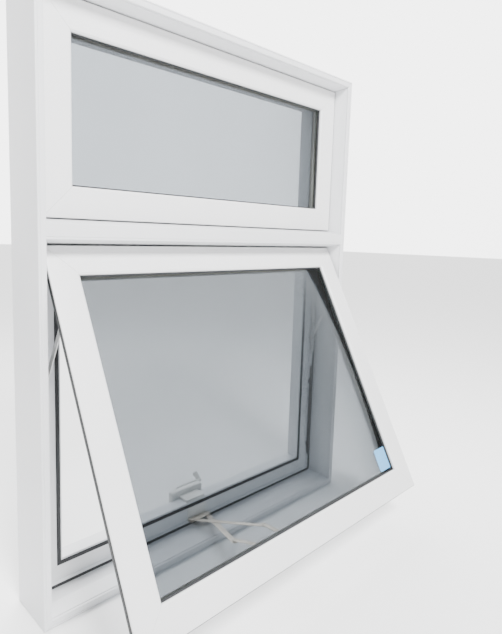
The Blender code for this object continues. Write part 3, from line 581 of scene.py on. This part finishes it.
def build_liner():
    """Black gasket that wraps the edge of the awning sash's flange and lines its rear body."""
    work = ring_mesh(VENT_RECT, SASH_FRONT, LINER_SECTION)
    geometry = work.verts[:] + work.edges[:] + work.faces[:]
    bmesh.ops.bisect_plane(work, geom=geometry, plane_co=(0, 0, PIVOT.z - PIN_CLEAR), plane_no=(0, 0, 1))
    over_pins = []
    for face in work.faces:
        middle = face.calc_center_median()
        beside = abs(middle.x) > VENT_RECT[1]
        near = PIVOT.z - PIN_CLEAR < middle.z < VENT_RECT[3]
        if beside and near:
            over_pins.append(face)
    bmesh.ops.delete(work, geom=over_pins, context="FACES")
    piece = finish_mesh("vent_edge_gasket", work, MATERIALS["rubber"], "sash", SASH_OPEN)
    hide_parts("vent_liner")


def build_label():
    """Blank sticker with rounded corners in the lower right corner of the opening light's glass."""
    half_w, half_h = (size / 2 for size in LABEL_SIZE)
    corners = [(u * half_w, v * half_h, LABEL_ROUND) for u, v in ((-1, -1), (1, -1), (1, 1), (-1, 1))]
    x, z = LABEL_MIDDLE
    outline = filleted(corners)
    ends = [[(x + u, SASH_FRONT + depth, z + v) for u, v in outline] for depth in LABEL_DEPTH]
    finish_mesh("blank_label", swept(outline, ends), STICKER, "sash", SASH_OPEN)


# ---------------------------------------------------------------- CAD nodes that stay


def dress_cad_nodes():
    """Gives each CAD node that stays its procedural material, softened edges and smooth shading."""
    for part in frame["record"]["subparts"]:
        shown = frame["nodes"][part["node"]]
        if shown.hide_render:
            continue
        slot_name = part["material_slot"]
        shown.data.materials.clear()
        shown.data.materials.append(MATERIALS[slot_name])
        if slot_name == "glass":
            shown.data.shade_flat()
            continue
        shown.data.shade_smooth()
        shown.data.set_sharp_from_angle(angle=math.radians(32))
        weld = shown.modifiers.new("weld", "WELD")
        weld.merge_threshold = 0.00001
        if slot_name in ("steel", "arm_steel", "dark_metal"):
            add_bevel(shown, METAL_EDGE, 2)
        elif slot_name == "enamel":
            add_bevel(shown, ENAMEL_EDGE, 3)


# ---------------------------------------------------------------- studio


def aim(location, target):
    """Rotation that points an object's -Z from a place to a target."""
    return (Vector(target) - Vector(location)).to_track_quat("-Z", "Y").to_euler()


def area_light(name, location, target, size, power, colour=(1, 1, 1)):
    data = bpy.data.lights.new(name, "AREA")
    data.shape = "RECTANGLE"
    data.size, data.size_y = size
    data.energy = power
    data.color = colour
    lamp = bpy.data.objects.new(name, data)
    lamp.location = location
    lamp.rotation_euler = aim(location, target)
    bpy.context.scene.collection.objects.link(lamp)


def build_studio():
    world = bpy.data.worlds.new("studio")
    world.use_nodes = True
    tree = world.node_tree
    background = tree.nodes["Background"]
    direction = node(tree, "ShaderNodeTexCoord").outputs["Generated"]
    facing = node(tree, "ShaderNodeVectorMath", operation="DOT_PRODUCT")
    facing.inputs[1].default_value = SKY_AXIS
    tree.links.new(direction, facing.inputs[0])
    glow = node(tree, "ShaderNodeMapRange", interpolation_type="SMOOTHSTEP")
    glow.inputs["From Min"].default_value = 0.0
    glow.inputs["From Max"].default_value = SKY_BRIGHT_FROM
    glow.inputs["To Min"].default_value = SKY_DIM
    glow.inputs["To Max"].default_value = SKY_BRIGHT
    tree.links.new(facing.outputs["Value"], glow.inputs["Value"])
    background.inputs["Color"].default_value = (1.0, 1.0, 1.0, 1.0)
    tree.links.new(glow.outputs["Result"], background.inputs["Strength"])
    bpy.context.scene.world = world
    middle = (0, 0, FRAME_RECT[3] / 2)
    area_light("front_softbox", FRONT_AT, middle, FRONT_SIZE, FRONT_POWER)
    area_light("room_softbox", ROOM_AT, ROOM_AIM, ROOM_SIZE, ROOM_POWER)
    work = bmesh.new()
    bmesh.ops.create_grid(work, x_segments=1, y_segments=1, size=FLOOR_HALF)
    mesh = bpy.data.meshes.new("floor")
    work.to_mesh(mesh)
    work.free()
    floor = bpy.data.objects.new("floor", mesh)
    floor.location.z = FRAME_RECT[2] - FLOOR_DROP
    made, tree, shader = new_material("floor_paint")
    shader.inputs["Base Color"].default_value = FLOOR_TONE
    shader.inputs["Roughness"].default_value = 0.8
    mesh.materials.append(made)
    bpy.context.scene.collection.objects.link(floor)


def build_camera():
    data = bpy.data.cameras.new("camera")
    data.lens = LENS
    data.shift_x, data.shift_y = SHIFT
    camera = bpy.data.objects.new("camera", data)
    turn = Matrix.Rotation(math.radians(-CAMERA_YAW), 3, "Z")
    lift = Matrix.Rotation(math.radians(90 + CAMERA_PITCH), 3, "X")
    roll = Matrix.Rotation(math.radians(CAMERA_ROLL), 3, "Z")
    camera.rotation_euler = (turn @ lift @ roll).to_euler()
    camera.location = (CAMERA_X, FRAME_FRONT - CAMERA_OUT, CAMERA_Z)
    bpy.context.scene.collection.objects.link(camera)
    bpy.context.scene.camera = camera


build_frame()
build_seals()
build_sash("fixed", FIXED_RECT, "frame")
build_sash("vent", VENT_RECT, "sash", SASH_OPEN)
build_liner()
build_label()
dress_cad_nodes()
build_studio()
build_camera()
